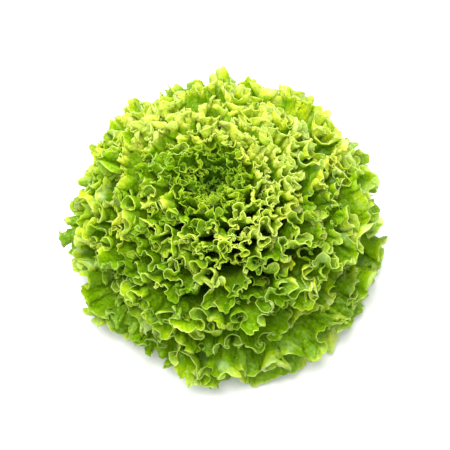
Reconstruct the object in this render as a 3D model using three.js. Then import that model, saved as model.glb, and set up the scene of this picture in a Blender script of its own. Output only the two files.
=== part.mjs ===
// Green leaf lettuce: a loose, frilled, domed head of separate leaves on one short, cut stem.
// Millimetres, +Z up. The origin is the centre of the stem's cut face, which the head stands on.
import * as THREE from "three";

const { clamp, degToRad, lerp } = THREE.MathUtils;

// ---- Driving dimensions ----------------------------------------------------------------------

const STEM_PROFILE = [[17, 0], [19, 8], [16, 28], [12, 47], [3.5, 66], [3, 69]]; // radius, height
const STEM_TIP_HEIGHT = 71;
const STEM_SIDES = 20;
const BUD_PROFILE = [[2, 71.5], [3.4, 82], [2.6, 95], [0, 101]]; // the rolled leaf at the growing tip
const BUD_SIDES = 10;

const FIRST_LEAF_HEIGHT = 8; // where the outermost leaf leaves the stem
const LAST_LEAF_HEIGHT = 66; // and the innermost one
const STEM_GAP = 0.4; // clearance between a leaf's foot and the stem
const GOLDEN_ANGLE = degToRad(137.508); // each leaf's turn from the one below it
const FIRST_LEAF_TURN = degToRad(-40); // the outermost leaf's direction, from +X
const TURN_SCATTER = degToRad(4); // leaves stray this far from their direction
const GROWTH_SCATTER = 0.05; // and differ this much in size

const MIDRIB_HALF_WIDTH = 7;
const WRAP_LIMIT = degToRad(105); // how far round the axis half a leaf can reach

// From the outermost leaves to the heart. Sway is how far an edge leaves its layer, in rank steps.
const WHORLS = [
  { name: "outer_leaf", count: 14, sway: 0.8, colour: 0x6f9f1f },
  { name: "middle_leaf", count: 16, sway: 0.38, colour: 0x86b52a },
  { name: "inner_leaf", count: 14, sway: 0.28, colour: 0xa9cf3c },
  { name: "heart_leaf", count: 12, sway: 0.03, colour: 0x9fc536 },
];
const EDGE_WAVES = 9; // along a leaf's whole edge
const COLUMNS = 18; // a leaf's faces along its edge
const ROWS = [0, 0.3, 0.55, 0.78, 1]; // shares of the way from the leaf's foot to its edge
const LEAF_COUNT = WHORLS.reduce((sum, whorl) => sum + whorl.count, 0);
const FIRST_RANK = 0.024; // ranks run from the outermost leaf to 1 for the innermost one
const RANK_STEP = (1 - FIRST_RANK) / (LEAF_COUNT - 1);

// ---- The stem --------------------------------------------------------------------------------

function stemRadius(height) {
  for (let i = 1; i < STEM_PROFILE.length; i++) {
    const [lowRadius, low] = STEM_PROFILE[i - 1];
    const [highRadius, high] = STEM_PROFILE[i];
    if (height <= high) return lerp(lowRadius, highRadius, (height - low) / (high - low));
  }
  return STEM_PROFILE.at(-1)[0];
}

// A round solid on the head's axis, from a profile of radii and heights.
function turnedMesh(name, profile, sides, color) {
  const points = profile.map(([radius, height]) => new THREE.Vector2(radius, height));
  const geometry = new THREE.LatheGeometry(points, sides).rotateX(Math.PI / 2); // its axis from Y to Z
  const material = new THREE.MeshStandardMaterial({ color, roughness: 0.6, metalness: 0 });
  const mesh = new THREE.Mesh(geometry, material);
  mesh.name = name;
  return mesh;
}

// ---- The layers ------------------------------------------------------------------------------
// Every leaf lies on its own surface of revolution. These layers are nested, so leaves never meet:
// low ranks lean out to the ground and high ranks stand up around the heart.

const bladeLength = (rank) => 126 + 22 * rank - 86 * rank ** 3.4;
const bladeHalfWidth = (rank) => 106 + 4 * rank - 96 * rank ** 1.9;
const bladeThickness = (rank) => 0.9 - 0.56 * rank; // with its blisters
const footHalfWidth = (rank) => 12 - 9 * rank;
const footThickness = (rank) => 3.4 - 2.75 * rank;

// The midrib's slope above the horizontal, at a share of its length.
function slopeAt(rank, share) {
  const foot = lerp(28, 88, rank ** 0.72);
  const middle = lerp(2, 87, rank ** 0.8);
  const tip = lerp(-66, 94, rank ** 0.48);
  const nearFoot = (1 - clamp(share / 0.45, 0, 1)) ** 1.5;
  const nearTip = clamp((share - 0.35) / 0.65, 0, 1) ** 1.6;
  return degToRad(middle + (foot - middle) * nearFoot + (tip - middle) * nearTip);
}

// The point on a layer after `along` millimetres of midrib, and the layer's slope there.
function layerPoint(rank, along) {
  const length = bladeLength(rank);
  const steps = 40;
  const step = along / steps;
  const footSlope = slopeAt(rank, 0);
  const footHeight = lerp(FIRST_LEAF_HEIGHT, LAST_LEAF_HEIGHT, rank);
  let radius = stemRadius(footHeight) + STEM_GAP + (footThickness(rank) / 2) * Math.sin(footSlope);
  let height = footHeight;
  for (let i = 0; i < steps; i++) {
    const slope = slopeAt(rank, ((i + 0.5) * step) / length);
    radius += step * Math.cos(slope);
    height += step * Math.sin(slope);
  }
  return { radius, height, slope: slopeAt(rank, along / length) };
}

// ---- A leaf ----------------------------------------------------------------------------------

// The flat leaf's outline: a fan, broad and blunt at the top, on a short foot. `edge`
// runs from -1 at the foot's left side over the tip to 1 at its right side.
function outlinePoint(leaf, edge) {
  const turn = Math.abs(edge) * Math.PI * 0.93;
  const blade = bladeHalfWidth(leaf.rank) * Math.sin(turn) * Math.cos(turn / 2) ** 0.8 * 1.24;
  const foot = footHalfWidth(leaf.rank) * Math.sin(turn / 2) ** 2;
  const along = bladeLength(leaf.rank) * (1 - Math.sin(turn / 2) ** 4);
  return { across: Math.sign(edge) * (blade * leaf.growth + foot), along: along * leaf.growth };
}

// A point of the leaf's upper (side 1) or lower (side -1) skin.
function skinPoint(leaf, edge, share, side) {
  const outline = outlinePoint(leaf, edge);
  const across = lerp(edge * footHalfWidth(leaf.rank), outline.across, share);
  const along = outline.along * share;

  // The edge sways between the neighbouring layers, and the foot is still.
  const reach = clamp(along / bladeLength(leaf.rank) / 0.4, 0, 1) * share ** 2;
  const wave = Math.sin(EDGE_WAVES * Math.PI * edge + leaf.number) * leaf.sway * reach;
  const rank = clamp(leaf.rank + wave * RANK_STEP, 0, 1);
  const { radius, height, slope } = layerPoint(rank, along);

  const ribLength = bladeLength(leaf.rank) * leaf.growth;
  const rib = Math.exp(-((across / MIDRIB_HALF_WIDTH) ** 2)) * (1 - along / ribLength);
  const thickness = lerp(bladeThickness(leaf.rank), footThickness(leaf.rank), rib);
  const skinRadius = radius - side * 0.5 * thickness * Math.sin(slope);
  const skinHeight = height + side * 0.5 * thickness * Math.cos(slope);
  const turn = leaf.turn + WRAP_LIMIT * Math.tanh(across / radius / WRAP_LIMIT);
  return [skinRadius * Math.cos(turn), skinRadius * Math.sin(turn), skinHeight];
}

function leafMesh(leaf) {
  const rowLength = COLUMNS + 1;
  const positions = [];
  for (const side of [1, -1]) {
    for (const share of ROWS) {
      for (let i = 0; i <= COLUMNS; i++) {
        positions.push(...skinPoint(leaf, (2 * i) / COLUMNS - 1, share, side));
      }
    }
  }
  const lower = ROWS.length * rowLength; // the lower skin's first vertex
  const indices = [];
  const quad = (a, b, c, d) => indices.push(a, b, c, a, c, d);
  for (let row = 0; row + 1 < ROWS.length; row++) {
    for (let i = 0; i < COLUMNS; i++) {
      const a = row * rowLength + i;
      const b = a + rowLength;
      quad(a, b, b + 1, a + 1);
      quad(lower + a, lower + a + 1, lower + b + 1, lower + b);
    }
    const left = row * rowLength;
    const right = left + COLUMNS;
    quad(left, lower + left, lower + left + rowLength, left + rowLength);
    quad(right, right + rowLength, lower + right + rowLength, lower + right);
  }
  const edgeRow = (ROWS.length - 1) * rowLength;
  for (let i = 0; i < COLUMNS; i++) {
    quad(i, i + 1, lower + i + 1, lower + i);
    quad(edgeRow + i, lower + edgeRow + i, lower + edgeRow + i + 1, edgeRow + i + 1);
  }
  const geometry = new THREE.BufferGeometry();
  geometry.setAttribute("position", new THREE.Float32BufferAttribute(positions, 3));
  geometry.setIndex(indices);
  geometry.computeVertexNormals();
  const material = new THREE.MeshStandardMaterial({ color: leaf.colour, roughness: 0.5, metalness: 0 });
  material.side = THREE.DoubleSide;
  const mesh = new THREE.Mesh(geometry, material);
  mesh.name = leaf.name;
  return mesh;
}

// ---- The head --------------------------------------------------------------------------------

// A value from -1 to 1 that scatters from leaf to leaf, since no two leaves grow quite alike.
const scatter = (number, kind) => Math.sin(1.7 * number ** 2 + kind);

const head = new THREE.Group();
head.name = "leaf_lettuce";
head.add(turnedMesh("stem", [[0, 0], ...STEM_PROFILE, [0, STEM_TIP_HEIGHT]], STEM_SIDES, 0xdfe6b8));
head.add(turnedMesh("heart_bud", [[0, BUD_PROFILE[0][1]], ...BUD_PROFILE], BUD_SIDES, 0xc4dc68));
let number = 0;
for (const whorl of WHORLS) {
  for (let i = 1; i <= whorl.count; i++) {
    const leaf = {
      ...whorl,
      name: `${whorl.name}_${String(i).padStart(2, "0")}`,
      number,
      rank: FIRST_RANK + number * RANK_STEP,
      turn: FIRST_LEAF_TURN + number * GOLDEN_ANGLE + TURN_SCATTER * scatter(number, 4),
      growth: 1 + GROWTH_SCATTER * scatter(number, 4.5),
    };
    head.add(leafMesh(leaf));
    number += 1;
  }
}

export default head;
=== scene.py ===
# %% [markdown]
# # A green leaf lettuce
#
# The real head is 56 separate leaves and one rolled bud on a short stem. Each leaf is a thin, tender
# sheet whose edge has grown far longer than its middle, so the edge has to buckle into ruffles, and
# the ruffles into smaller ones. This lesson lays each leaf on the layer that the construction model
# gives it, ruffles it generation by generation, and then gives it a waxy, light-filled green skin.

import bpy
import numpy as np
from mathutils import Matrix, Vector


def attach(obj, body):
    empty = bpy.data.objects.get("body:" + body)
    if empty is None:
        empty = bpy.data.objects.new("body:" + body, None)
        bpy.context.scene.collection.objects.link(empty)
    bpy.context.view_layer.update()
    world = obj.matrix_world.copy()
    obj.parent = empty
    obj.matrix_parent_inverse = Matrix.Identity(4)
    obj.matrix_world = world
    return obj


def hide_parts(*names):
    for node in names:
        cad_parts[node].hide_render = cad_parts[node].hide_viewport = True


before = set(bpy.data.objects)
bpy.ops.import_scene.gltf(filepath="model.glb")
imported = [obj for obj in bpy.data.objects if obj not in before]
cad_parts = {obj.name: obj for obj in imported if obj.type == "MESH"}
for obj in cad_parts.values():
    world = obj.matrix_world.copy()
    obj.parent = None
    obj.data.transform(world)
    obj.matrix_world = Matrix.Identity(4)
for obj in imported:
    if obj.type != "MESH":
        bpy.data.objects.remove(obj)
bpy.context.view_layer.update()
scene = bpy.context.scene
MM = 0.001

# %% [markdown]
# ## The layers
#
# Every leaf lies on its own bowl-shaped layer around the stem, and the layers are nested like cups.
# A leaf's rank says which one: near 0 for the outermost leaves, which lie out, and 1 for the heart,
# which stands up. The curve of a layer could be drawn by hand, but as a formula it also gives the
# space between two layers. All lengths are in millimetres until a mesh is made.

# %% Sizes of the leaves by rank
FIRST_RANK = 0.024
STEM_HEIGHTS = [0, 8, 28, 47, 66, 69]
STEM_RADII = [17, 19, 16, 12, 3.5, 3]
FIRST_LEAF_HEIGHT = 8  # where the outermost leaf leaves the stem
LAST_LEAF_HEIGHT = 66  # and the innermost one
STEM_GAP = 0.4  # between the stem and a leaf's foot


# Inwards from the outermost leaf, leaves first grow a little longer and broader, then much smaller.
def blade_length(rank):
    return 126 + 22 * rank - 86 * rank**3.4


def blade_half_width(rank):
    return 108 + 24 * rank - 118 * rank**2.1


def foot_half_width(rank):
    return 12 - 9 * rank


def foot_thickness(rank):
    return 3.4 - 2.75 * rank


for rank in (FIRST_RANK, 1):
    print(f"rank {rank}: {blade_length(rank):.0f} mm long, {foot_thickness(rank):.1f} mm thick at the foot")

# %% The curve of a layer
LAYER_STEPS = 32  # straight bits that a layer's curve is added up from
FOOT_CURVE = 0.45  # the midrib bends away from the stem up to this share of its length
TIP_CURVE = 0.35  # and towards its tip's slope from this one


def slope_at(rank, share):
    """The midrib's slope above the horizontal, in radians, at a share of its length."""
    # In degrees, where the midrib starts, about halfway, and where it ends.
    foot = 28 + 60 * rank**0.72
    middle = 2 + 85 * rank**0.8
    tip = -66 + 160 * rank**0.48
    near_foot = (1 - np.clip(share / FOOT_CURVE, 0, 1)) ** 1.5
    near_tip = np.clip((share - TIP_CURVE) / (1 - TIP_CURVE), 0, 1) ** 1.6
    return np.radians(middle + (foot - middle) * near_foot + (tip - middle) * near_tip)


def layer_point(rank, along):
    """The distance from the axis and the height after `along` millimetres of midrib on a layer."""
    length = blade_length(rank)
    step = along / LAYER_STEPS
    height = FIRST_LEAF_HEIGHT + (LAST_LEAF_HEIGHT - FIRST_LEAF_HEIGHT) * rank
    radius = np.interp(height, STEM_HEIGHTS, STEM_RADII) + STEM_GAP
    radius = radius + foot_thickness(rank) / 2 * np.sin(slope_at(rank, 0))
    for i in range(LAYER_STEPS):
        slope = slope_at(rank, (i + 0.5) * step / length)
        radius = radius + step * np.cos(slope)
        height = height + step * np.sin(slope)
    return radius, height


for rank in (FIRST_RANK, 0.5, 1):
    radius, height = layer_point(rank, blade_length(rank))
    print(f"the layer of rank {rank} ends {radius:.0f} mm from the axis, {height:.0f} mm up")

# %% [markdown]
# ## A flat leaf
#
# A leaf could start as a plain grid, but its foot is a few centimetres wide and its edge half a metre
# long, so an even grid wastes faces at the foot and starves the edge. The flat leaf here is a grid
# whose rows run from foot to edge. Towards the edge its cross edges are cut in half again and again,
# so that the columns double four times on a large leaf's way out, and three times on a small one's.

# %% Cutting a grid that is fine at the edge
ROW_COUNT = 20
ROW_CROWDING = 1.8  # above 1, the rows stand closer near the edge
FOOT_COLUMNS = 32
LARGE_LEAF_DOUBLINGS = (4, 8, 12, 16)  # the rows from which the columns are twice as many
SMALL_LEAF_DOUBLINGS = (3, 8, 13)
LARGE_COLUMNS = FOOT_COLUMNS * 2 ** len(LARGE_LEAF_DOUBLINGS)
SMALL_COLUMNS = FOOT_COLUMNS * 2 ** len(SMALL_LEAF_DOUBLINGS)
HAIR = 0.001  # far less than the side of any face of the grid


def row_share(row):
    """How far from foot to edge a row lies."""
    return 1 - (1 - row / ROW_COUNT) ** ROW_CROWDING


def flat_leaf(name, doubling_rows):
    """A flat grid from -1 to 1, with its foot at the bottom and its finest faces at the top."""
    bpy.ops.object.select_all(action="DESELECT")
    bpy.ops.mesh.primitive_grid_add(x_subdivisions=FOOT_COLUMNS, y_subdivisions=ROW_COUNT, size=2)
    leaf = bpy.context.object
    leaf.name = name
    for row in doubling_rows:
        row_height = 2 * row / ROW_COUNT - 1
        bpy.ops.object.mode_set(mode="EDIT")
        bpy.ops.mesh.select_mode(type="EDGE")
        bpy.ops.mesh.select_all(action="DESELECT")
        bpy.ops.object.mode_set(mode="OBJECT")
        places = [v.co.copy() for v in leaf.data.vertices]
        for edge in leaf.data.edges:
            a, b = (places[v] for v in edge.vertices)
            edge.select = abs(a.y - b.y) < HAIR and a.y > row_height - HAIR
        bpy.ops.object.mode_set(mode="EDIT")
        bpy.ops.mesh.subdivide(number_cuts=1, ngon=False)
        bpy.ops.object.mode_set(mode="OBJECT")
    print(name, "faces:", len(leaf.data.polygons))
    return leaf


large_leaf = flat_leaf("large_flat_leaf", LARGE_LEAF_DOUBLINGS)
small_leaf = flat_leaf("small_flat_leaf", SMALL_LEAF_DOUBLINGS)

# %% [markdown]
# ## Chance
#
# No two ruffles grow alike, so every wave needs some chance in its length, height and place. Plain
# random numbers would jump from point to point. Drawing them far apart and easing from one to the
# next gives curves and fields that wander, and a generator with its own seed for each leaf gives the
# same head every time.

# %% Curves and fields that wander
def ease(share):
    """From 0 to 1 with a soft start and a soft end."""
    return share * share * (3 - 2 * share)


def wander(places, spacing, random):
    """A smooth random curve of about -1 to 1 over places, with a turn every `spacing` or so."""
    knots = np.arange(places.min() - 2 * spacing, places.max() + 3 * spacing, spacing)
    values = random.uniform(-1, 1, len(knots))
    position = (places - knots[0]) / spacing
    index = np.clip(position.astype(int), 0, len(knots) - 2)
    share = ease(position - index)
    return values[index] * (1 - share) + values[index + 1] * share


def wander_2d(across, along, spacing, random):
    """The same over two coordinates: a smooth random field of about -1 to 1."""
    column = across / spacing - np.floor((across / spacing).min())
    row = along / spacing - np.floor((along / spacing).min())
    i, j = column.astype(int), row.astype(int)
    values = random.uniform(-1, 1, (i.max() + 2, j.max() + 2))
    a, b = ease(column - i), ease(row - j)
    low = values[i, j] * (1 - a) + values[i + 1, j] * a
    high = values[i, j + 1] * (1 - a) + values[i + 1, j + 1] * a
    return low * (1 - b) + high * b


sample = wander(np.arange(0, 60, 10), 20, np.random.default_rng(1))
print("a curve that wanders, every 10 mm:", np.round(sample, 2))

# %% [markdown]
# ## Ruffles
#
# Real ruffles come from growth: the margin has too much length, and it buckles. A cloth simulation of
# that growth would take many minutes for every leaf, so the waves are laid on directly, in
# generations. Each one lifts the sheet along the normal of the sheet that the generation before it
# left. Three more numbers make plain waves into the round loops of a real frill: curl steepens a
# wave's sides until its crest overhangs them, pinch narrows the crest, and cup draws it in towards
# the foot of the leaf.

# %% One generation of ruffles
PACE_SCATTER = 0.4  # how much a wave's length varies
HEIGHT_SCATTER = 0.5  # and its height and depth
CREST_DRIFT = 2.5  # how far a crest strays on its way in from the edge, in radians
BEND_LIMIT = 1.3  # the higher, the less a sharply bent sheet is lifted again


def unit(vectors):
    return vectors / np.maximum(np.linalg.norm(vectors, axis=-1, keepdims=True), 1e-9)


def sheet_directions(net):
    """Unit vectors along the edge, out towards the edge, and square to the sheet, at every point."""
    sideways = unit(np.gradient(net, axis=0))
    outwards = unit(np.gradient(net, axis=1))
    return sideways, outwards, unit(np.cross(sideways, outwards))


def closeness(from_edge, depth):
    """1 on the leaf's edge, falling to 0 at `depth` from it."""
    return np.clip(1 - from_edge / depth, 0, 1)


def ruffle(net, edge_way, from_edge, strength, wave, random):
    """One generation of waves. A wave is its length, height, depth, curl, pinch and cup."""
    length, height, depth, curl, pinch, cup = wave
    sideways, outwards, normal = sheet_directions(net)
    pace = 1 + PACE_SCATTER * wander(edge_way, 1.7 * length, random)
    steps = np.diff(edge_way, prepend=edge_way[0])
    phase = np.cumsum(2 * np.pi * steps / length * pace) + random.uniform(0, 2 * np.pi)
    drift = wander_2d(edge_way[:, None] + 0 * from_edge, from_edge, 1.3 * length, random)
    phase = phase[:, None] + CREST_DRIFT * drift * np.clip(from_edge / length, 0, 1)
    lively = 1 + HEIGHT_SCATTER * wander(edge_way, 1.6 * length, random)
    reach = closeness(from_edge, depth * lively[:, None]) ** 1.25
    rise = height * (lively / pace * strength)[:, None] * reach
    bend = np.linalg.norm(np.gradient(normal, axis=0), axis=-1)
    bend = bend / np.maximum(np.linalg.norm(np.gradient(net, axis=0), axis=-1), 0.05)
    rise = rise / (1 + (BEND_LIMIT * bend) ** 2)
    lift = rise * np.sin(phase)
    pull = rise * (pinch * np.cos(phase) - curl * np.sin(2 * phase))
    inwards = cup * lift
    return net + normal * lift[..., None] + sideways * pull[..., None] - outwards * inwards[..., None]


# The generations, from the widest waves to the finest, as they are on a frill of full size.
WAVES = [(50, 10, 84, 0.1, 0, 0), (18.5, 7.6, 52, 0.15, 0.3, 0.4), (7.6, 3.4, 22, 0.18, 0.12, 0.3)]
print("waves per metre of edge:", [round(1000 / wave[0]) for wave in WAVES])

# %% [markdown]
# ## Lobes, crumples and teeth
#
# Three more things break up the edge and the blade. Before it ruffles, the margin grows on in lobes
# and stops short between them. Between the veins the tissue swells, because it grows more than they
# do. Last, the very edge is cut into rounded teeth. Each is a push of the same net, out or square to
# the sheet. Cutting teeth into the outline beforehand is simpler, but the ruffles would stretch them.

# %% Lobes
LOBE_LEAN = (5, 45, 38)  # how far a margin leans over, the way between its turns, and its depth
LOBES = [(8, 17), (10, 42)]  # the height of small and large lobes, and the way between their turns
LOBE_TOOTH = (7, 14)  # a coarse tooth's height and width
LOBE_LOSS = 3  # lobes fall short more than they grow on
LOBE_LIMIT = 12
GROWN_DEPTH = 40  # a lobe that grows on draws the sheet along this far from the edge
SHORT_DEPTH = 80  # and one that stops short, this far


def teeth(edge_way, width, pace):
    """Rounded teeth along the edge: 0 in the notches, 1 on the tips."""
    return np.abs(np.sin(np.cumsum(np.pi * np.diff(edge_way, prepend=0) / width * pace)))


def lobe(net, edge_way, from_edge, strength, size, lean, random):
    """Uneven growth: the margin leans over, and grows on here and stops short there."""
    outwards, normal = sheet_directions(net)[1:]
    lean_height, lean_way, lean_depth = LOBE_LEAN
    lean = lean * (lean_height + lean_height * wander(edge_way, lean_way * size, random)) * strength
    net = net + normal * (lean[:, None] * closeness(from_edge, lean_depth * size) ** 2)[..., None]
    growth = sum(height * wander(edge_way, way * size, random) for height, way in LOBES) - LOBE_LOSS
    pace = 1 + PACE_SCATTER * wander(edge_way, 36 * size, random)
    growth = growth + LOBE_TOOTH[0] * (teeth(edge_way, LOBE_TOOTH[1] * size, pace) - 0.6)
    growth = LOBE_LIMIT * np.tanh(growth / LOBE_LIMIT) * size * strength
    depth = np.where(growth > 0, GROWN_DEPTH, SHORT_DEPTH) * size
    return net + outwards * (growth[:, None] * closeness(from_edge, depth[:, None]) ** 2)[..., None]


print("lobes of", LOBES[0][0], "and", LOBES[1][0], "mm, at most", LOBE_LIMIT, "mm together")

# %% Crumpled tissue and fine teeth
SWELLINGS = [(2.4, 11), (1.2, 6)]  # height, and the way between turns
CRUMPLE_DEPTH = 80
TOOTH_WIDTH = 4.6
TOOTH_HEIGHT = 2.6
TOOTH_SCATTER = 1.8
TOOTH_DEPTH = 7


def crumple(net, edge_way, from_edge, strength, size, random):
    """Bubbled tissue: smooth swellings of the blade, which fade towards the foot."""
    normal = sheet_directions(net)[2]
    across = edge_way[:, None] + 0 * from_edge
    swelling = sum(height * wander_2d(across, from_edge, way * size, random) for height, way in SWELLINGS)
    reach = closeness(from_edge, CRUMPLE_DEPTH * size)
    return net + normal * (swelling * reach * strength[:, None] * size)[..., None]


def scallop(net, edge_way, from_edge, strength, size, random):
    """Small rounded teeth along the margin, each a few millimetres wide."""
    outwards = sheet_directions(net)[1]
    pace = 1 + PACE_SCATTER * wander(edge_way, 12 * size, random)
    tooth_row = teeth(edge_way, TOOTH_WIDTH * size, pace) - 0.6
    heights = TOOTH_HEIGHT + TOOTH_SCATTER * wander(edge_way, 9 * size, random)
    growth = heights * tooth_row * size * strength
    return net + outwards * (growth[:, None] * closeness(from_edge, TOOTH_DEPTH * size) ** 2)[..., None]


print("fine teeth:", TOOTH_WIDTH, "mm wide, up to", TOOTH_HEIGHT + TOOTH_SCATTER, "mm high")

# %% [markdown]
# ## The net of a leaf
#
# The real leaf is a fan: broad and blunt at the top, on a short foot that clasps the stem. Its flat
# outline is wrapped onto its layer first, and only then ruffled, so that neighbours keep the space
# between their layers. A leaf could be ruffled all over, but what the leaves above it press flat
# stays calmer on a real head, so each point of the rim asks how far inside their rims it lies.

# %% The flat outline and the rims
WRAP_LIMIT = np.radians(105)  # how far round the axis half a leaf can reach
OUTLINE_TURN = 0.93 * np.pi  # just short of pi, where nothing is left of the blade
RIM_SHARE = 0.85  # the share of half an outline that is rim, before it runs down the foot
RIM_POINTS = 120
FULL_WIDTH = 1.24  # brings the blade's widest point to its half width
BACK_REACH = 0.025  # leaves that point to the back reach this much further
LEAVES_OVER_ONE = 13  # so many of the next leaves up stand all round the head
UNCOVERED = -50.0  # the depth inside a rim that stands for being well outside it


def leaf_outline(leaf, edge):
    """The flat leaf's fan-shaped outline, from -1 at the foot's left side to 1 at its right side."""
    turn = np.abs(edge) * OUTLINE_TURN
    blade = blade_half_width(leaf["rank"]) * np.sin(turn) * np.cos(turn / 2) ** 0.8 * FULL_WIDTH
    foot = foot_half_width(leaf["rank"]) * np.sin(turn / 2) ** 2
    along = blade_length(leaf["rank"]) * leaf["growth"] * (1 - np.sin(turn / 2) ** 4)
    along = along * (1 + BACK_REACH * max(0, np.sin(leaf["turn"])))
    return np.sign(edge) * (blade * leaf["growth"] + foot), along


def rim_line(leaf):
    """Half of the leaf's flat rim: angles from the leaf's own turn, and how far out it reaches there."""
    across, along = leaf_outline(leaf, np.linspace(0, RIM_SHARE, RIM_POINTS))
    angle = WRAP_LIMIT * np.tanh(across / layer_point(leaf["rank"], along)[0] / WRAP_LIMIT)
    last = np.argmax(angle) + 1
    return angle[:last], along[:last]


def covered(leaf, angle, along):
    """How far inside the rims of the leaves above it each point of a leaf's rim lies."""
    depth = np.full(len(along), UNCOVERED)
    for other in leaves[leaf["number"] + 1:leaf["number"] + 1 + LEAVES_OVER_ONE]:
        aside = np.abs((angle - other["turn"] + np.pi) % (2 * np.pi) - np.pi)
        angles, reach = rim_line(other)
        depth = np.maximum(depth, np.interp(aside, angles, reach, right=UNCOVERED) - along)
    return depth


middling = {"rank": 0.5, "growth": 1, "turn": 0}
middling_across, middling_along = leaf_outline(middling, np.linspace(-1, 1, 101))
print(f"a middling leaf: {np.ptp(middling_across):.0f} mm wide, {middling_along.max():.0f} mm long")

# %% Wrapping a leaf onto its layer
OUTLINE_POINTS = 2001
EDGE_CROWDING = 0.26  # above 0, the columns stand closer at the tip than beside the foot
EDGE_WAVES = 9  # sways along a leaf's whole edge
STILL_SHARE = 0.4  # on this first share of a leaf's length the sway is held back


def spaced_edge(leaf, columns):
    """The columns' places on a leaf's edge, from -1 to 1, and the way along the edge to each."""
    edge = np.linspace(-1, 1, OUTLINE_POINTS)
    across, along = leaf_outline(leaf, edge)
    way = np.cumsum(np.hypot(np.diff(across, prepend=across[0]), np.diff(along, prepend=along[0])))
    side = np.linspace(-1, 1, columns + 1)
    edge_way = way[-1] * (0.5 + 0.5 * side * (1 - EDGE_CROWDING + EDGE_CROWDING * side**2))
    return np.interp(edge_way, way, edge), edge_way


def wrapped(leaf, edge, across, along, share):
    """The flat leaf on its layer, with an edge that sways between the neighbouring layers."""
    rank = leaf["rank"]
    reach = np.clip(along / blade_length(rank) / STILL_SHARE, 0, 1) * share**2
    sway = np.sin(EDGE_WAVES * np.pi * edge + leaf["number"])[:, None] * leaf["sway"] * reach
    swayed = np.clip(rank + sway * leaf["rank_step"], 0, 1)
    radius, height = layer_point(swayed, along)
    angle = leaf["turn"] + WRAP_LIMIT * np.tanh(across / radius / WRAP_LIMIT)
    net = np.stack([radius * np.cos(angle), radius * np.sin(angle), height], axis=-1)
    return net, angle[:, -1]


rim_way = spaced_edge(middling, LARGE_COLUMNS)[1]
print(f"its edge: {rim_way[-1]:.0f} mm, with a column every {np.diff(rim_way).min():.2f} mm at the tip")

# %% The net of one leaf
FIRST_SEED = 211
PLAIN_FOOT = 0.06  # up to this share of its length a leaf's edge is plain
FRILL_GAIN = 0.3  # and over this share more, its frill gains its full strength
HIDDEN_DEPTH = 16  # this far inside the rims of the leaves above, the ruffles start to calm
HIDDEN_CALM = 0.6  # and at twice that depth they have lost this share of their height
BLADE_THICKNESS = 0.45
TABLE_CLEARANCE = 0.5


def frill_strength(leaf, rim_angle, rim_along):
    """How strongly each column of a leaf is ruffled."""
    rising = (rim_along / blade_length(leaf["rank"]) - PLAIN_FOOT) / FRILL_GAIN
    inside = covered(leaf, rim_angle, rim_along) / leaf["frill"]
    hidden = np.clip((inside - HIDDEN_DEPTH) / HIDDEN_DEPTH, 0, 1)
    return np.clip(rising, 0, 1) ** 0.7 * (1 - HIDDEN_CALM * hidden) * (1 - leaf["calm"])


def leaf_net(leaf, columns):
    """The points of a leaf's sheet by column and row, midway through its thickness, in millimetres.

    Also gives each point's distance from the edge, and its place on the flat leaf across and along.
    """
    edge, edge_way = spaced_edge(leaf, columns)
    rim_across, rim_along = leaf_outline(leaf, edge)
    foot_across = edge * foot_half_width(leaf["rank"])
    share = row_share(np.arange(ROW_COUNT + 1))
    across = foot_across[:, None] + (rim_across - foot_across)[:, None] * share
    along = rim_along[:, None] * share
    from_edge = np.hypot(rim_across - foot_across, rim_along)[:, None] * (1 - share)

    net, rim_angle = wrapped(leaf, edge, across, along, share)
    strength = frill_strength(leaf, rim_angle, rim_along)
    size = leaf["frill"]
    random = np.random.default_rng(leaf["number"] + FIRST_SEED)
    net = lobe(net, edge_way, from_edge, strength, size, leaf["lean"], random)
    for length, height, depth, *shape in WAVES:
        wave = (length * size, height * size, depth * size, *shape)
        net = ruffle(net, edge_way, from_edge, strength, wave, random)
    net = crumple(net, edge_way, from_edge, strength, size, random)
    net = scallop(net, edge_way, from_edge, strength, size, random)
    net[..., 2] = np.maximum(net[..., 2], TABLE_CLEARANCE + BLADE_THICKNESS)
    return net, from_edge, across, along


print("points in a large leaf's net:", (LARGE_COLUMNS + 1) * (ROW_COUNT + 1))

# %% [markdown]
# ## From net to leaf
#
# A copy of the flat leaf is laid on its net and given a thickness: thin in the blade, thick along the
# midrib. The whole head leans a little, since it grew towards the light, and bending it once, as one
# field that every leaf passes through, keeps the leaves nested. Ripeness is laid down here too, and
# painted light with it: the frill is painted yellower on the side of the head where the light falls
# strongest, and a tone stored on each point is the simplest way to let that run on from leaf to leaf
# over the whole head.

# %% The head's lean and ripeness
LEAN_START = 70  # above this height the head leans to the left
LEAN_SOFTNESS = 10
HEAD_LEAN = 0.16
# Around the heart the frill is riper: amount, and in metres the distance from the axis and spread.
RIPE_RING = (0.2, 0.07, 0.025)
TONE_DROP = 0.15  # what every tone outside the heart loses, to make up for it
# And here it is riper or, below 0, greener: x, y and spread, in metres, and amount. Some patches are
# the leaves' own yellow spots; others paint places lighter or darker where the light falls stronger or
# weaker: painted light and shade.
RIPE_AND_LIT_PATCHES = [
    (-0.084, -0.024, 0.03, 0.35),
    (-0.1, -0.075, 0.035, -0.3),
    (-0.065, 0.052, 0.032, 0.9),
    (-0.01, 0.063, 0.035, 0.1),
    (0.055, 0.015, 0.032, 0.9),
    (0.07, 0.065, 0.04, 0.4),
    (0.005, -0.045, 0.03, 0.6),
    (0.08, -0.08, 0.03, 0.4),
    (-0.062, 0.01, 0.02, -0.5),
]


def lean_over(places):
    """The same places, in metres, moved to the left above the height where the lean starts."""
    above = places[:, 2] - LEAN_START * MM
    shift = HEAD_LEAN * (above + np.hypot(above, LEAN_SOFTNESS * MM)) / 2
    return places - shift[:, None] * np.array([1, 0, 0])


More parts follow.
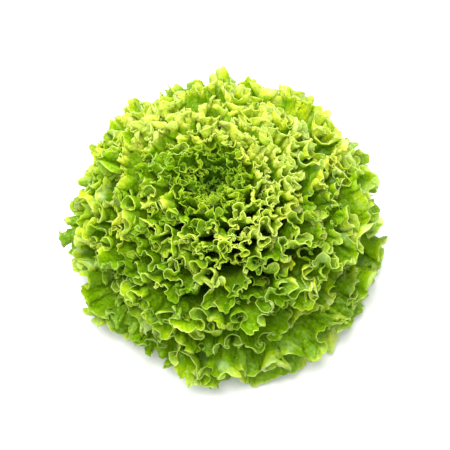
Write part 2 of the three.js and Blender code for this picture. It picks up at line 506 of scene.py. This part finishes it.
def tone_with_painted_light(leaf, upright, leaning):
    """A leaf's tone at every point, from its places before and after the head leans: its ripeness, with
    painted light and shade laid over it.
    """
    azimuth = np.arctan2(upright[:, 1], upright[:, 0])
    # Painted light: the side of the head where the light falls most is painted lighter and yellower.
    tone = leaf["tone"] + leaf["sun"] * np.cos(azimuth - np.radians(leaf["sunny_turn"]))
    if leaf["slot"] == "heart_leaf":
        return tone
    amount, distance, spread = RIPE_RING
    from_axis = np.hypot(upright[:, 0], upright[:, 1])
    tone = tone + amount * np.exp(-(((from_axis - distance) / spread) ** 2)) - TONE_DROP
    # Patches of riper or greener tone, some of them painted light and shade.
    for x, y, spread, amount in RIPE_AND_LIT_PATCHES:
        away = np.hypot(leaning[:, 0] - x, leaning[:, 1] - y)
        tone = tone + amount * np.exp(-((away / spread) ** 2))
    return tone


top = lean_over(np.array([[0, 0, 0.16]]))[0]
print(f"a tip 160 mm up leans {-top[0] / MM:.0f} mm")

# %% Laying one leaf
MAP_UNIT = 100  # millimetres of flat leaf in one unit of its own map
RIB_GROWTH = 1.15  # the rib's thickness at the foot, as a share of the solid leaf's
RIB_FOOT_WIDTH = 7
RIB_TIP_WIDTH = 1.5
RIB_END = 0.85  # as a share of the leaf's length


def store(mesh, name, values):
    """Keeps one number for every point of a mesh, for its finish to read."""
    mesh.attributes.new(name, "FLOAT", "POINT").data.foreach_set("value", values.astype(np.float32))


def thicken(piece, rank, rib):
    """Gives a sheet its thickness: the foot's where rib is 1, the blade's where it is 0."""
    group = piece.vertex_groups.new(name="rib")
    for index, weight in enumerate(rib):
        group.add([index], float(weight), "REPLACE")
    thickness = foot_thickness(rank) * RIB_GROWTH
    solidify = piece.modifiers.new("thickness", "SOLIDIFY")
    solidify.thickness = thickness * MM
    solidify.thickness_vertex_group = BLADE_THICKNESS / thickness
    solidify.vertex_group = group.name
    solidify.offset = 0
    solidify.material_offset = 1
    bpy.context.view_layer.objects.active = piece
    bpy.ops.object.modifier_apply(modifier=solidify.name)


def lay_leaf(leaf, template, columns):
    """Copies the flat leaf, lays it on its net, and gives it its tones and its thickness."""
    net, from_edge, across, along = leaf["net"](leaf, columns)
    mesh = template.data.copy()
    mesh.name = leaf["name"] + "_frilled"
    piece = bpy.data.objects.new(mesh.name, mesh)
    scene.collection.objects.link(piece)
    flat = np.empty(len(mesh.vertices) * 3, np.float32)
    mesh.vertices.foreach_get("co", flat)
    flat = flat.reshape(-1, 3)
    column = np.rint((flat[:, 0] + 1) / 2 * columns).astype(int)
    row = np.rint((flat[:, 1] + 1) / 2 * ROW_COUNT).astype(int)
    upright = net[column, row] * MM
    places = lean_over(upright)
    mesh.vertices.foreach_set("co", places.astype(np.float32).ravel())
    # Divided by the frill's size, so that a small frill is coloured like a large one.
    store(mesh, "from_edge", from_edge[column, row] / leaf["frill"])
    store(mesh, "tone", tone_with_painted_light(leaf, upright, places))
    loops = np.empty(len(mesh.loops), int)
    mesh.loops.foreach_get("vertex_index", loops)
    flat_map = np.stack([across[column, row], along[column, row]], axis=1) / MAP_UNIT
    mesh.uv_layers[0].data.foreach_set("uv", flat_map[loops].astype(np.float32).ravel())
    mesh.polygons.foreach_set("use_smooth", np.ones(len(mesh.polygons), bool))
    for side in range(2):
        mesh.materials.append(None)
    mesh.update()

    # The midrib narrows on its way out, and is gone shortly before the tip.
    length = blade_length(leaf["rank"])
    rib_width = RIB_TIP_WIDTH + (RIB_FOOT_WIDTH - RIB_TIP_WIDTH) * (1 - along / length)
    rib = np.exp(-((across / rib_width) ** 2))
    rib = rib * np.clip(1 - along / (RIB_END * length), 0, 1) ** 1.2
    thicken(piece, leaf["rank"], rib[column, row])
    return piece


print("a foot is", round(foot_thickness(FIRST_RANK) * RIB_GROWTH, 1), "mm thick, a blade", BLADE_THICKNESS)

# %% [markdown]
# ## The leaves of the head
#
# A lettuce grows its leaves one after another, each turned from the last by the golden angle, which
# lets every new leaf find the widest gap. So the head is one list that runs from the outermost leaf
# inwards, and a leaf's number gives its rank, turn and size. A few leaves are longer, shorter, calmer
# or livelier than that would make them, as on any real head.

# %% The list of leaves
GOLDEN_ANGLE = np.radians(137.508)
FIRST_LEAF_TURN = np.radians(-40)  # the outermost leaf's direction, from +X
TURN_SCATTER = np.radians(4)  # leaves stray this far from their direction
GROWTH_SCATTER = 0.05  # and differ this much in size
TONE_SCATTER = 0.15
# The lengths of a few leaves, as shares of the usual one, by the leaf's number.
LENGTHS = {0: 1.04, 8: 0.84, 13: 0.8, 35: 0.96, 36: 0.96, 39: 0.98}
# How much calmer than the others a leaf is, by its number. Below 0, it is livelier.
CALM = {0: 0.72, 30: -0.25, 32: -0.2, 33: -0.25, 35: -0.25, 38: -0.25, 40: -0.25, 41: -0.25, 43: -0.2}
LEAN_RANKS = (0.35, 0.6, 0.75, 0.85)  # margins turn up on the lowest ranks, lean out on the next,
MARGIN_LEANS = (-1, 0.3, 0.4, -0.5)  # and lean in over the heart on the highest

# sway is how far an edge leaves its layer, in steps of rank. The last two numbers paint the leaves on
# one side of the head lighter and yellower, as if lit there: painted light. The first says how much,
# the second on which side, in degrees from +X.
WHORLS = [
    {"name": "outer_leaf", "count": 14, "sway": 0.8, "sun": 0.25, "sunny_turn": 110},
    {"name": "middle_leaf", "count": 16, "sway": 0.38, "sun": 0.35, "sunny_turn": 105},
    {"name": "inner_leaf", "count": 14, "sway": 0.28, "sun": 0.5, "sunny_turn": 40},
    {"name": "heart_leaf", "count": 12, "sway": 0.03, "sun": 0.1, "sunny_turn": 45},
]


def scatter(number, kind):
    """A value from -1 to 1 that differs from leaf to leaf, and from kind to kind."""
    return np.sin(1.7 * number**2 + kind)


leaf_count = sum(whorl["count"] for whorl in WHORLS)
rank_step = (1 - FIRST_RANK) / (leaf_count - 1)
leaves = []
for whorl in WHORLS:
    for i in range(1, whorl["count"] + 1):
        number = len(leaves)
        rank = FIRST_RANK + number * rank_step
        tone = 0.5 + TONE_SCATTER * scatter(number, 2.5)
        if whorl["name"] == "heart_leaf":
            # Partly painted shade: the heart's leaves are darker the deeper they sit, for the shade inside
            # the head as well as their own younger green.
            tone = (1 - rank) * 4.5  # greener and greener towards the core
        leaves.append({
            "name": f"{whorl['name']}_{i:02d}",
            "slot": whorl["name"],
            "net": leaf_net,
            "number": number,
            "rank": rank,
            "rank_step": rank_step,
            "sway": whorl["sway"],
            "turn": FIRST_LEAF_TURN + number * GOLDEN_ANGLE + TURN_SCATTER * scatter(number, 4),
            "growth": (1 + GROWTH_SCATTER * scatter(number, 4.5)) * LENGTHS.get(number, 1),
            "frill": 0.88 - 0.66 * rank**1.5,
            "lean": np.interp(rank, LEAN_RANKS, MARGIN_LEANS),
            "calm": CALM.get(number, 0),
            "tone": tone,
            "sun": whorl["sun"],
            "sunny_turn": whorl["sunny_turn"],
        })
print("leaves:", len(leaves), "each", round(rank_step, 4), "of rank above the last")

# %% [markdown]
# ## The youngest leaf
#
# At the growing tip stands a leaf that hasn't opened yet. It is a sheet like the others, rolled up more
# than twice around itself, so its net is a spiral instead of a layer.

# %% The rolled leaf
BUD_FOOT = 71.5
BUD_LENGTH = 25
BUD_TURNS = 2.3
BUD_CORE = 0.5  # the roll's innermost radius
BUD_ROLL = 2.2  # and how much it grows outwards
BUD_OPENING = 0.5  # how far the roll has opened at the top


def bud_net(leaf, columns):
    """The rolled leaf's sheet, with the same measures that leaf_net gives."""
    random = np.random.default_rng(leaf["number"] + FIRST_SEED)
    side = np.linspace(0, 1, columns + 1)[:, None]
    share = row_share(np.arange(ROW_COUNT + 1))
    opened = 1 + BUD_OPENING * share**3
    radius = (BUD_CORE + BUD_ROLL * side) * opened
    angle = 2 * np.pi * BUD_TURNS * side
    length = BUD_LENGTH * (1 - 0.4 * (2 * side - 1) ** 4)
    along = length * share
    height = BUD_FOOT + along * (1 - 0.1 * side)
    net = np.stack([radius * np.cos(angle), radius * np.sin(angle), height], axis=-1)
    edge_way = np.cumsum(np.linalg.norm(np.diff(net[:, -1], axis=0, prepend=net[:1, -1]), axis=-1))
    from_edge = length * (1 - share)
    strength = np.ones(columns + 1)
    size = leaf["frill"]
    for length, height, depth, *shape in WAVES[1:]:
        wave = (length * size, height * size, depth * size, *shape)
        net = ruffle(net, edge_way, from_edge, strength, wave, random)
    net = scallop(net, edge_way, from_edge, strength, size, random)
    across = (side - 0.5) * edge_way[-1] + 0 * share
    return net, from_edge, across, along


bud = {"name": "heart_bud", "slot": "heart_leaf", "net": bud_net, "number": leaf_count, "rank": 1,
       "frill": 0.25, "tone": 0, "sun": 0, "sunny_turn": 0}
print("the bud stands from", BUD_FOOT, "to", BUD_FOOT + BUD_LENGTH, "mm")

# %% [markdown]
# ## Laying every leaf
#
# Now each leaf of the list is made. The large flat leaf has more columns than the small leaves of the
# heart need, so those start from the small one. Every piece takes the place of one solid and its
# slot, and the flat leaves are thrown away at the end.

# %% Laying every leaf
leaf_pieces = []
for leaf in leaves + [bud]:
    if leaf["slot"] == "heart_leaf":
        piece = lay_leaf(leaf, small_leaf, SMALL_COLUMNS)
    else:
        piece = lay_leaf(leaf, large_leaf, LARGE_COLUMNS)
    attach(piece, "root")
    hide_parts(leaf["name"])
    leaf_pieces.append(piece)
for template in (large_leaf, small_leaf):
    bpy.data.objects.remove(template)
print("triangles:", sum(len(p.vertices) - 2 for piece in leaf_pieces for p in piece.data.polygons))

# %% [markdown]
# ## The stem
#
# The stem is a short, solid cone that the leaves' feet clasp, cut off flat at the bottom. A turned
# profile would give it too, but drawing a disc out ring by ring leaves the cut as one flat face.

# %% The stem
STEM_SIDES = 64
CUT_RING = 0.3  # the first ring is low, which keeps the cut's rim crisp
STEM_RING = 1.5
STEM_RIPPLE = 0.25  # the scars of lost leaves
RIPPLE_PACE = 1.9  # radians of ripple for each millimetre up
STEM_TIP_SHARE = 0.4  # the tip's width, as a share of the last ring's
STEM_TIP_HEIGHT = 71
CLASPED_HEIGHT = FIRST_LEAF_HEIGHT - 2  # from here up the stem swells to meet the leaves' feet

bpy.ops.object.select_all(action="DESELECT")
bpy.ops.mesh.primitive_circle_add(vertices=STEM_SIDES, radius=STEM_RADII[0] * MM, fill_type="NGON")
stem = bpy.context.object
stem.name = "cut_stem"
bpy.ops.object.mode_set(mode="EDIT")
bpy.ops.mesh.select_all(action="SELECT")
height, radius = 0, STEM_RADII[0]
while height < STEM_TIP_HEIGHT - STEM_RING:
    rise = CUT_RING if height == 0 else STEM_RING
    height += rise
    new_radius = np.interp(height, STEM_HEIGHTS, STEM_RADII)
    new_radius += STEM_RIPPLE * np.sin(height * RIPPLE_PACE) * min(1, new_radius / 12)
    if height > CLASPED_HEIGHT:
        new_radius += STEM_GAP
    bpy.ops.mesh.extrude_region_move(TRANSFORM_OT_translate={"value": (0, 0, rise * MM)})
    grow = new_radius / radius
    bpy.ops.transform.resize(value=(grow, grow, 1), center_override=(0, 0, 0))
    radius = new_radius
last_rise = (STEM_TIP_HEIGHT - height) * MM
bpy.ops.mesh.extrude_region_move(TRANSFORM_OT_translate={"value": (0, 0, last_rise)})
bpy.ops.transform.resize(value=(STEM_TIP_SHARE, STEM_TIP_SHARE, 1), center_override=(0, 0, 0))
bpy.ops.mesh.select_all(action="SELECT")
bpy.ops.mesh.normals_make_consistent(inside=False)
bpy.ops.object.mode_set(mode="OBJECT")
bpy.ops.object.shade_smooth()
for polygon in stem.data.polygons:
    if len(polygon.vertices) > 4:
        polygon.use_smooth = False
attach(stem, "root")
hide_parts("stem")
print("stem:", len(stem.data.polygons), "faces")

# %% [markdown]
# ## Shader maths in plain Python
#
# A finish is a network of nodes, and a long network is hard to read as a list of links. Wrapping a
# socket in a small class lets an ordinary expression such as 1 - mask * 0.5 add the Math nodes for
# itself. Colours go through Mix nodes, since a Math node would turn them grey.

# %% A wire between nodes
class Wire:
    """A socket that Python's operators work on."""

    def __init__(self, finish, socket):
        self.finish = finish
        self.socket = socket

    def maths(self, operation, *others):
        return self.finish.maths(operation, self, *others)

    def __add__(self, other):
        return self.maths("ADD", other)

    def __sub__(self, other):
        return self.maths("SUBTRACT", other)

    def __mul__(self, other):
        return self.maths("MULTIPLY", other)

    def __truediv__(self, other):
        return self.maths("DIVIDE", other)

    def __radd__(self, other):
        return self.finish.maths("ADD", other, self)

    def __rsub__(self, other):
        return self.finish.maths("SUBTRACT", other, self)

    def __rmul__(self, other):
        return self.finish.maths("MULTIPLY", other, self)

    def __abs__(self):
        return self.maths("ABSOLUTE")

    def fade(self, start, end):
        """0 where this value is at start or short of it, 1 at end and past it, smooth between."""
        settings = {"interpolation_type": "SMOOTHSTEP"}
        return self.finish.node("ShaderNodeMapRange", settings, {0: self, 1: start, 2: end})


print("a wire knows + - and * from either side, and /, abs and fade")

# %% A finish
class Finish:
    """A material whose nodes are added one call at a time."""

    def __init__(self, name):
        self.material = bpy.data.materials.new(name)
        self.material.use_nodes = True
        self.tree = self.material.node_tree
        self.shader = self.tree.nodes["Principled BSDF"]

    def node(self, kind, settings=None, sockets=None, out=0):
        """Adds a node of any kind, and gives one of its outputs."""
        made = self.tree.nodes.new(kind)
        for name, value in (settings or {}).items():
            setattr(made, name, value)
        self.fill(made, sockets or {})
        return Wire(self, made.outputs[out])

    def fill(self, node, sockets):
        """Sets or links a node's sockets."""
        for name, value in sockets.items():
            if isinstance(value, Wire):
                self.tree.links.new(value.socket, node.inputs[name])
            else:
                node.inputs[name].default_value = value

    def maths(self, operation, *values):
        return self.node("ShaderNodeMath", {"operation": operation}, dict(enumerate(values)))

    def blend(self, mask, colour, other):
        """The first colour where the mask is 0, the other where it is 1."""
        return self.node("ShaderNodeMix", {"data_type": "RGBA"}, {0: mask, 6: colour, 7: other}, out=2)

    def parts(self, vector):
        """The X, Y and Z of a vector."""
        separate = self.node("ShaderNodeSeparateXYZ", None, {0: vector}).socket.node
        return [Wire(self, output) for output in separate.outputs]

    def attribute(self, name):
        return self.node("ShaderNodeAttribute", {"attribute_name": name}, out=2)

    def noise(self, place, scale, detail=2):
        sockets = {"Vector": place, "Scale": scale, "Detail": detail}
        return self.node("ShaderNodeTexNoise", None, sockets)


def linear(value):
    """One of a paint card's numbers, from 0 to 255, as the shader's linear light."""
    share = value / 255
    return share / 12.92 if share < 0.04045 else ((share + 0.055) / 1.055) ** 2.4


def colour(red, green, blue):
    return [linear(red), linear(green), linear(blue), 1]


print("a paint card's middle grey as light:", round(linear(128), 3))

# %% [markdown]
# ## The leaf's skin
#
# A lettuce leaf is pale at the foot, green in the blade and yellow-green in the frill, with an almost
# colourless rim a millimetre or two wide. Part of this is painted light: the green deep between the
# frills is painted darker for the shade in the hollows, the pale margin and rim are painted whiter
# for a highlight, and whitish patches near the edge are a painted sheen. Pale veins branch from the
# midrib, and the tissue between them swells a little. All of it is drawn from the flat leaf's own
# measures: millimetres across and along, and the distance from the edge. The sheet lets light
# through, so a share of its shader is a translucent one, and a coat gives the wax. The underside is
# duller, with stronger veins.

# %% The colours all leaves share
# The rim's and the pale band's colours are partly the edge's own paleness and partly painted highlight.
RIM = colour(240, 248, 182)
PALE = colour(240, 246, 150)
DEEP = colour(40, 96, 0)
FLECK = colour(206, 232, 40)
VEIN = colour(205, 222, 120)
FOOT = colour(232, 238, 200)
BLOOM = colour(226, 240, 130)
# Painted sheen: a whitish colour that stands in for light reflected by the waxy skin.
PAINTED_SHEEN = colour(224, 244, 204)
GLOW = colour(212, 242, 8)
VEIN_SPACING = 15  # millimetres along the midrib
VEIN_SLANT = 0.8
NET_FINENESS = 15  # cells of the fine net of veins in one unit of the leaf's map
THROUGH = 0.38  # the share of light that a blade lets through
RIPE_THROUGH = 0.1  # and how much more its frill does
print("light through a leaf's frill:", THROUGH + RIPE_THROUGH)


# %% A finish that knows its place on the leaf
class LeafFinish(Finish):
    """A finish with a leaf's own measures, in millimetres, and its noises, from 0 to 1.

    The distance from the edge is the one that a frill of full size would have there.
    """

    def __init__(self, name, under):
        super().__init__(name)
        self.under = under
        self.vein_depth = 0.7 if under else 0.3
        self.flat = self.node("ShaderNodeUVMap")
        flat_x, flat_y, _ = self.parts(self.flat)
        self.across = abs(flat_x) * MAP_UNIT
        self.along = flat_y * MAP_UNIT
        self.from_edge = self.attribute("from_edge")
        self.place = self.node("ShaderNodeTexCoord", out=3)
        region = self.noise(self.place, 34, 1)
        self.tone = self.attribute("tone") + (region.fade(0.32, 0.68) - 0.5) * 0.7
        self.cloud = self.noise(self.flat, 3.5)
        self.specks = self.noise(self.flat, 26)
        self.patches = self.noise(self.flat, 7, 1)
        self.mottle = self.noise(self.place, 420, 2)

        # A leaf ripens from the edge in to a ragged line, which lies further in where the tone is high.
        # Inside the line the green is darker: partly the blade's own colour, partly painted shade for the
        # hollows between the frills.
        ragged = (self.cloud - 0.5) * 24 + (self.patches - 0.5) * 22 + (self.specks - 0.5) * 6
        self.unripe_and_shaded = self.from_edge + ragged - (self.tone - 0.5) * 14
        self.ripe_and_lit = 1 - self.unripe_and_shaded.fade(-3, 14)

    def lateral_veins(self):
        """1 on the veins that run up and out from the midrib. They fade towards the edge."""
        warp = (self.cloud - 0.5) * 16 + (self.specks - 0.5) * 3
        paces = (self.along - self.across * VEIN_SLANT + warp) / VEIN_SPACING
        branch = abs(paces.maths("FRACT") - 0.5) * 2
        width = 0.1 + 0.14 * (1 - self.across.fade(0, 50))
        return branch.fade(1 - width, 1) * self.from_edge.fade(4, 30)

    def fine_net(self):
        """1 on the fine net that joins the veins."""
        cells = self.node("ShaderNodeTexVoronoi", {"feature": "DISTANCE_TO_EDGE"},
                          {"Vector": self.flat, "Scale": NET_FINENESS})
        return 1 - cells.fade(0.0, 0.09)

    def midrib(self, foot_length):
        midrib = 1 - self.across.fade(0.8, 5)
        return midrib * (1 - self.along.fade(0.7 * foot_length, 1.8 * foot_length))


print("veins every", VEIN_SPACING, "mm along the midrib")


# %% The leaf finish
def leaf_colour(leaf, laterals, blade, frill, ripe_frill, paleness, sheen_paint, foot_length):
    """The colour of a leaf's skin, laid on in layers from the blade to the rim, with painted light among
    them: shade in the hollows, a highlight on the margin and rim, and a whitish sheen.
    """
    from_edge, along = leaf.from_edge, leaf.along
    # Frill colour near the edge, blade green further in: partly the leaf's own colours, partly painted
    # shade in the hollows between the frills.
    body = leaf.blend(leaf.ripe_and_lit, blade, leaf.blend(leaf.tone, frill, ripe_frill))
    # A pale band inside the edge: partly the frill's own paler tissue, partly a painted highlight.
    pale = 1 - leaf.unripe_and_shaded.fade(-12, 4)
    body = leaf.blend(pale * 0.7 * paleness, body, PALE)
    veins = laterals.maths("MAXIMUM", leaf.fine_net() * 0.35)
    body = leaf.blend(veins * leaf.vein_depth * from_edge.fade(3, 12), body, VEIN)
    body = leaf.blend(leaf.mottle.fade(0.52, 0.3) * 0.45 * from_edge.fade(0, 3), body, DEEP)
    body = leaf.blend(leaf.mottle.fade(0.5, 0.75) * 0.4, body, FLECK)
    body = leaf.blend((1 - along.fade(0.1 * foot_length, foot_length)) * 0.75, body, FOOT)
    body = leaf.blend(leaf.midrib(foot_length) * 0.8, body, FOOT)
    if leaf.under:
        body = leaf.blend(0.14 * paleness, body, BLOOM)
    # Painted sheen: whitish patches near the edge, more where the tone is high, stand in for light
    # reflected by the wax.
    painted_sheen_mask = leaf.noise(leaf.place, 62, 1).fade(0.48, 0.66)
    painted_sheen_mask = painted_sheen_mask * from_edge.fade(20, 6) * leaf.tone.fade(0.1, 0.6)
    body = leaf.blend(painted_sheen_mask * sheen_paint, body, PAINTED_SHEEN)
    # The rim: partly the leaf's own pale edge, partly a painted highlight.
    rim = (1 - from_edge.fade(0.0, 2.0)) * (0.05 + leaf.patches.fade(0.6, 0.4) * 0.45)
    return leaf.blend(rim * paleness, body, RIM)


def leaf_finish(name, under, **look):
    """The finish of one side of a leaf. `under` says that it is the underside."""
    leaf = LeafFinish(name, under)
    laterals = leaf.lateral_veins()
    blisters = leaf.noise(leaf.place, 190, 1) * 1.6 + leaf.mottle * 0.8
    height = blisters - laterals * leaf.vein_depth
    bump = leaf.node("ShaderNodeBump", {"invert": under},
                     {"Strength": 0.6, "Distance": 0.0015, "Height": height})
    wax = (0.1 + 0.9 * leaf.ripe_and_lit) * (0.5 if under else 1.0)
    leaf.fill(leaf.shader, {
        "Base Color": leaf_colour(leaf, laterals, **look),
        "Roughness": 0.5 - 0.1 * leaf.cloud.fade(0.3, 0.7),
        "Normal": bump,
        "Coat Weight": wax,
        "Coat Roughness": 0.3,
        "Specular IOR Level": 0.2,
    })
    through = leaf.node("ShaderNodeBsdfTranslucent", None, {"Color": GLOW})
    skin = Wire(leaf, leaf.shader.outputs[0])
    share = THROUGH + RIPE_THROUGH * leaf.ripe_and_lit
    mix = leaf.node("ShaderNodeMixShader", None, {0: share, 1: skin, 2: through})
    leaf.fill(leaf.tree.nodes["Material Output"], {"Surface": mix})
    print(name, "nodes:", len(leaf.tree.nodes))
    return leaf.material


# %% A skin for every whorl
# Each skin also says how strongly the painted sheen, whitish patches standing for reflected light, is laid
# on.
LEAF_SKINS = {
    "outer_leaf": {"blade": colour(107, 150, 0), "frill": colour(168, 194, 4),
                   "ripe_frill": colour(232, 234, 26), "paleness": 0.74, "sheen_paint": 0.38, "foot_length": 60},
    "middle_leaf": {"blade": colour(115, 160, 0), "frill": colour(186, 208, 8),
                    "ripe_frill": colour(244, 240, 36), "paleness": 0.74, "sheen_paint": 0.3, "foot_length": 60},
    "inner_leaf": {"blade": colour(133, 176, 2), "frill": colour(218, 228, 14),
                   "ripe_frill": colour(250, 246, 80), "paleness": 0.72, "sheen_paint": 0.1, "foot_length": 45},
    # The heart's darker green is partly its own colour and partly painted shade deep inside the head.
    "heart_leaf": {"blade": colour(86, 138, 4), "frill": colour(124, 168, 12),
                   "ripe_frill": colour(196, 218, 36), "paleness": 0.1, "sheen_paint": 0, "foot_length": 12},
}
skins = {}
for slot, look in LEAF_SKINS.items():
    skins[slot] = [leaf_finish(slot + "_back", True, **look), leaf_finish(slot + "_face", False, **look)]
for leaf, piece in zip(leaves + [bud], leaf_pieces):
    for side, skin in enumerate(skins[leaf["slot"]]):
        piece.data.materials[side] = skin
print("skinned pieces:", len(leaf_pieces))

# %% [markdown]
# ## The stem's skin
#
# The stem is nearly white with faint green streaks along it. Its cut was made with a knife, and the
# milky juice has dried there to a light brown, most of all near the rim and in the ring of the vessels.
# The colour is worked out from each point's own distance from the axis and height, which is simpler
# than painting a map of a shape this plain.

# %% The stem finish
PITH = colour(232, 233, 204)
STREAK = colour(196, 214, 138)
DRIED = colour(176, 132, 84)
VESSEL_RING = 12.5  # the radius of the ring of vessels in the cut


def stem_finish():
    finish = Finish("stem_skin")
    place = finish.node("ShaderNodeTexCoord", out=3)
    east, north, up = (part * (1 / MM) for part in finish.parts(place))
    radius = (east * east + north * north).maths("SQRT")
    speck = finish.noise(place, 900, 3)
    cloud = finish.noise(place, 160)
    stretched = finish.node("ShaderNodeMapping", None, {0: place, 3: (1, 1, 0.08)})
    streaks = finish.noise(stretched, 700)
    body = finish.blend(streaks.fade(0.4, 0.7) * 0.7, PITH, STREAK)
    ring = 1 - abs(radius - VESSEL_RING + (cloud - 0.5) * 3).fade(0, 2)
    rim = (radius + (cloud - 0.5) * 6).fade(13.5, 17)
    cut = 1 - up.fade(0.1, 2.5)
    dried = ring.maths("MAXIMUM", rim) * (0.35 + speck.fade(0.35, 0.65) * 0.5) * cut
    body = finish.blend(dried, body, DRIED)
    bump = finish.node("ShaderNodeBump", None,
                       {"Strength": 0.5, "Distance": 0.0006, "Height": streaks + speck * 0.5})
    finish.fill(finish.shader, {"Base Color": body, "Roughness": 0.45 + 0.2 * speck, "Normal": bump,
                                "Subsurface Weight": 0.15, "Subsurface Scale": 0.003})
    print("stem_skin nodes:", len(finish.tree.nodes))
    return finish.material


stem.data.materials.append(stem_finish())

# %% [markdown]
# ## Floor, light and camera
#
# A head of lettuce shows best on a plain pale floor under soft light from almost straight above: the
# hollows between the leaves stay dark, and the thin frills glow. One large softbox gives that light,
# a smaller one behind the head lights the far frills through, and a white sky fills in the rest.
# The camera looks steeply down from the front, through a long lens that keeps the head's round shape.

# %% The floor and the light
FLOOR_DROP = 0.0005  # just under the cut, so that the two never share a plane

bpy.ops.object.select_all(action="DESELECT")
bpy.ops.mesh.primitive_plane_add(size=6, location=(0, 0, -FLOOR_DROP))
floor = bpy.context.object
floor.name = "floor"
floor_finish = Finish("floor")
floor_finish.fill(floor_finish.shader, {"Base Color": (0.9, 0.9, 0.9, 1)})
floor.data.materials.append(floor_finish.material)

world = bpy.data.worlds.new("studio")
scene.world = world
world.use_nodes = True
sky = world.node_tree.nodes["Background"]
sky.inputs["Color"].default_value = (1, 1, 1, 1)
sky.inputs["Strength"].default_value = 0.94


def softbox(name, place, size, power):
    """A square lamp that faces the head."""
    light = bpy.data.lights.new(name, "AREA")
    light.size = size
    light.energy = power
    lamp = bpy.data.objects.new(name, light)
    scene.collection.objects.link(lamp)
    lamp.location = place
    lamp.rotation_euler = (-Vector(place)).to_track_quat("-Z", "Y").to_euler()
    print(name, "softbox:", power, "W")


softbox("key", (-0.16, -0.16, 1.5), 0.7, 26.5)
softbox("back", (-0.1, 1.0, 1.2), 0.4, 13)

# %% The camera
CAMERA_ELEVATION = np.radians(65)
CAMERA_DISTANCE = 1.1
CAMERA_AIM = Vector((-0.001, -0.001, 0.059))
VIEW_WIDTH = 0.409  # metres across the view, at the head
SENSOR_WIDTH = 36  # millimetres

camera_data = bpy.data.cameras.new("camera")
camera = bpy.data.objects.new("camera", camera_data)
scene.collection.objects.link(camera)
back = Vector((0, -np.cos(CAMERA_ELEVATION), np.sin(CAMERA_ELEVATION)))
camera.location = CAMERA_AIM + back * CAMERA_DISTANCE
camera.rotation_euler = (-back).to_track_quat("-Z", "Y").to_euler()
camera_data.lens = SENSOR_WIDTH * CAMERA_DISTANCE / VIEW_WIDTH
scene.camera = camera
scene.view_settings.view_transform = "Standard"
print("camera:", round(camera_data.lens), "mm lens,", CAMERA_DISTANCE, "m away")
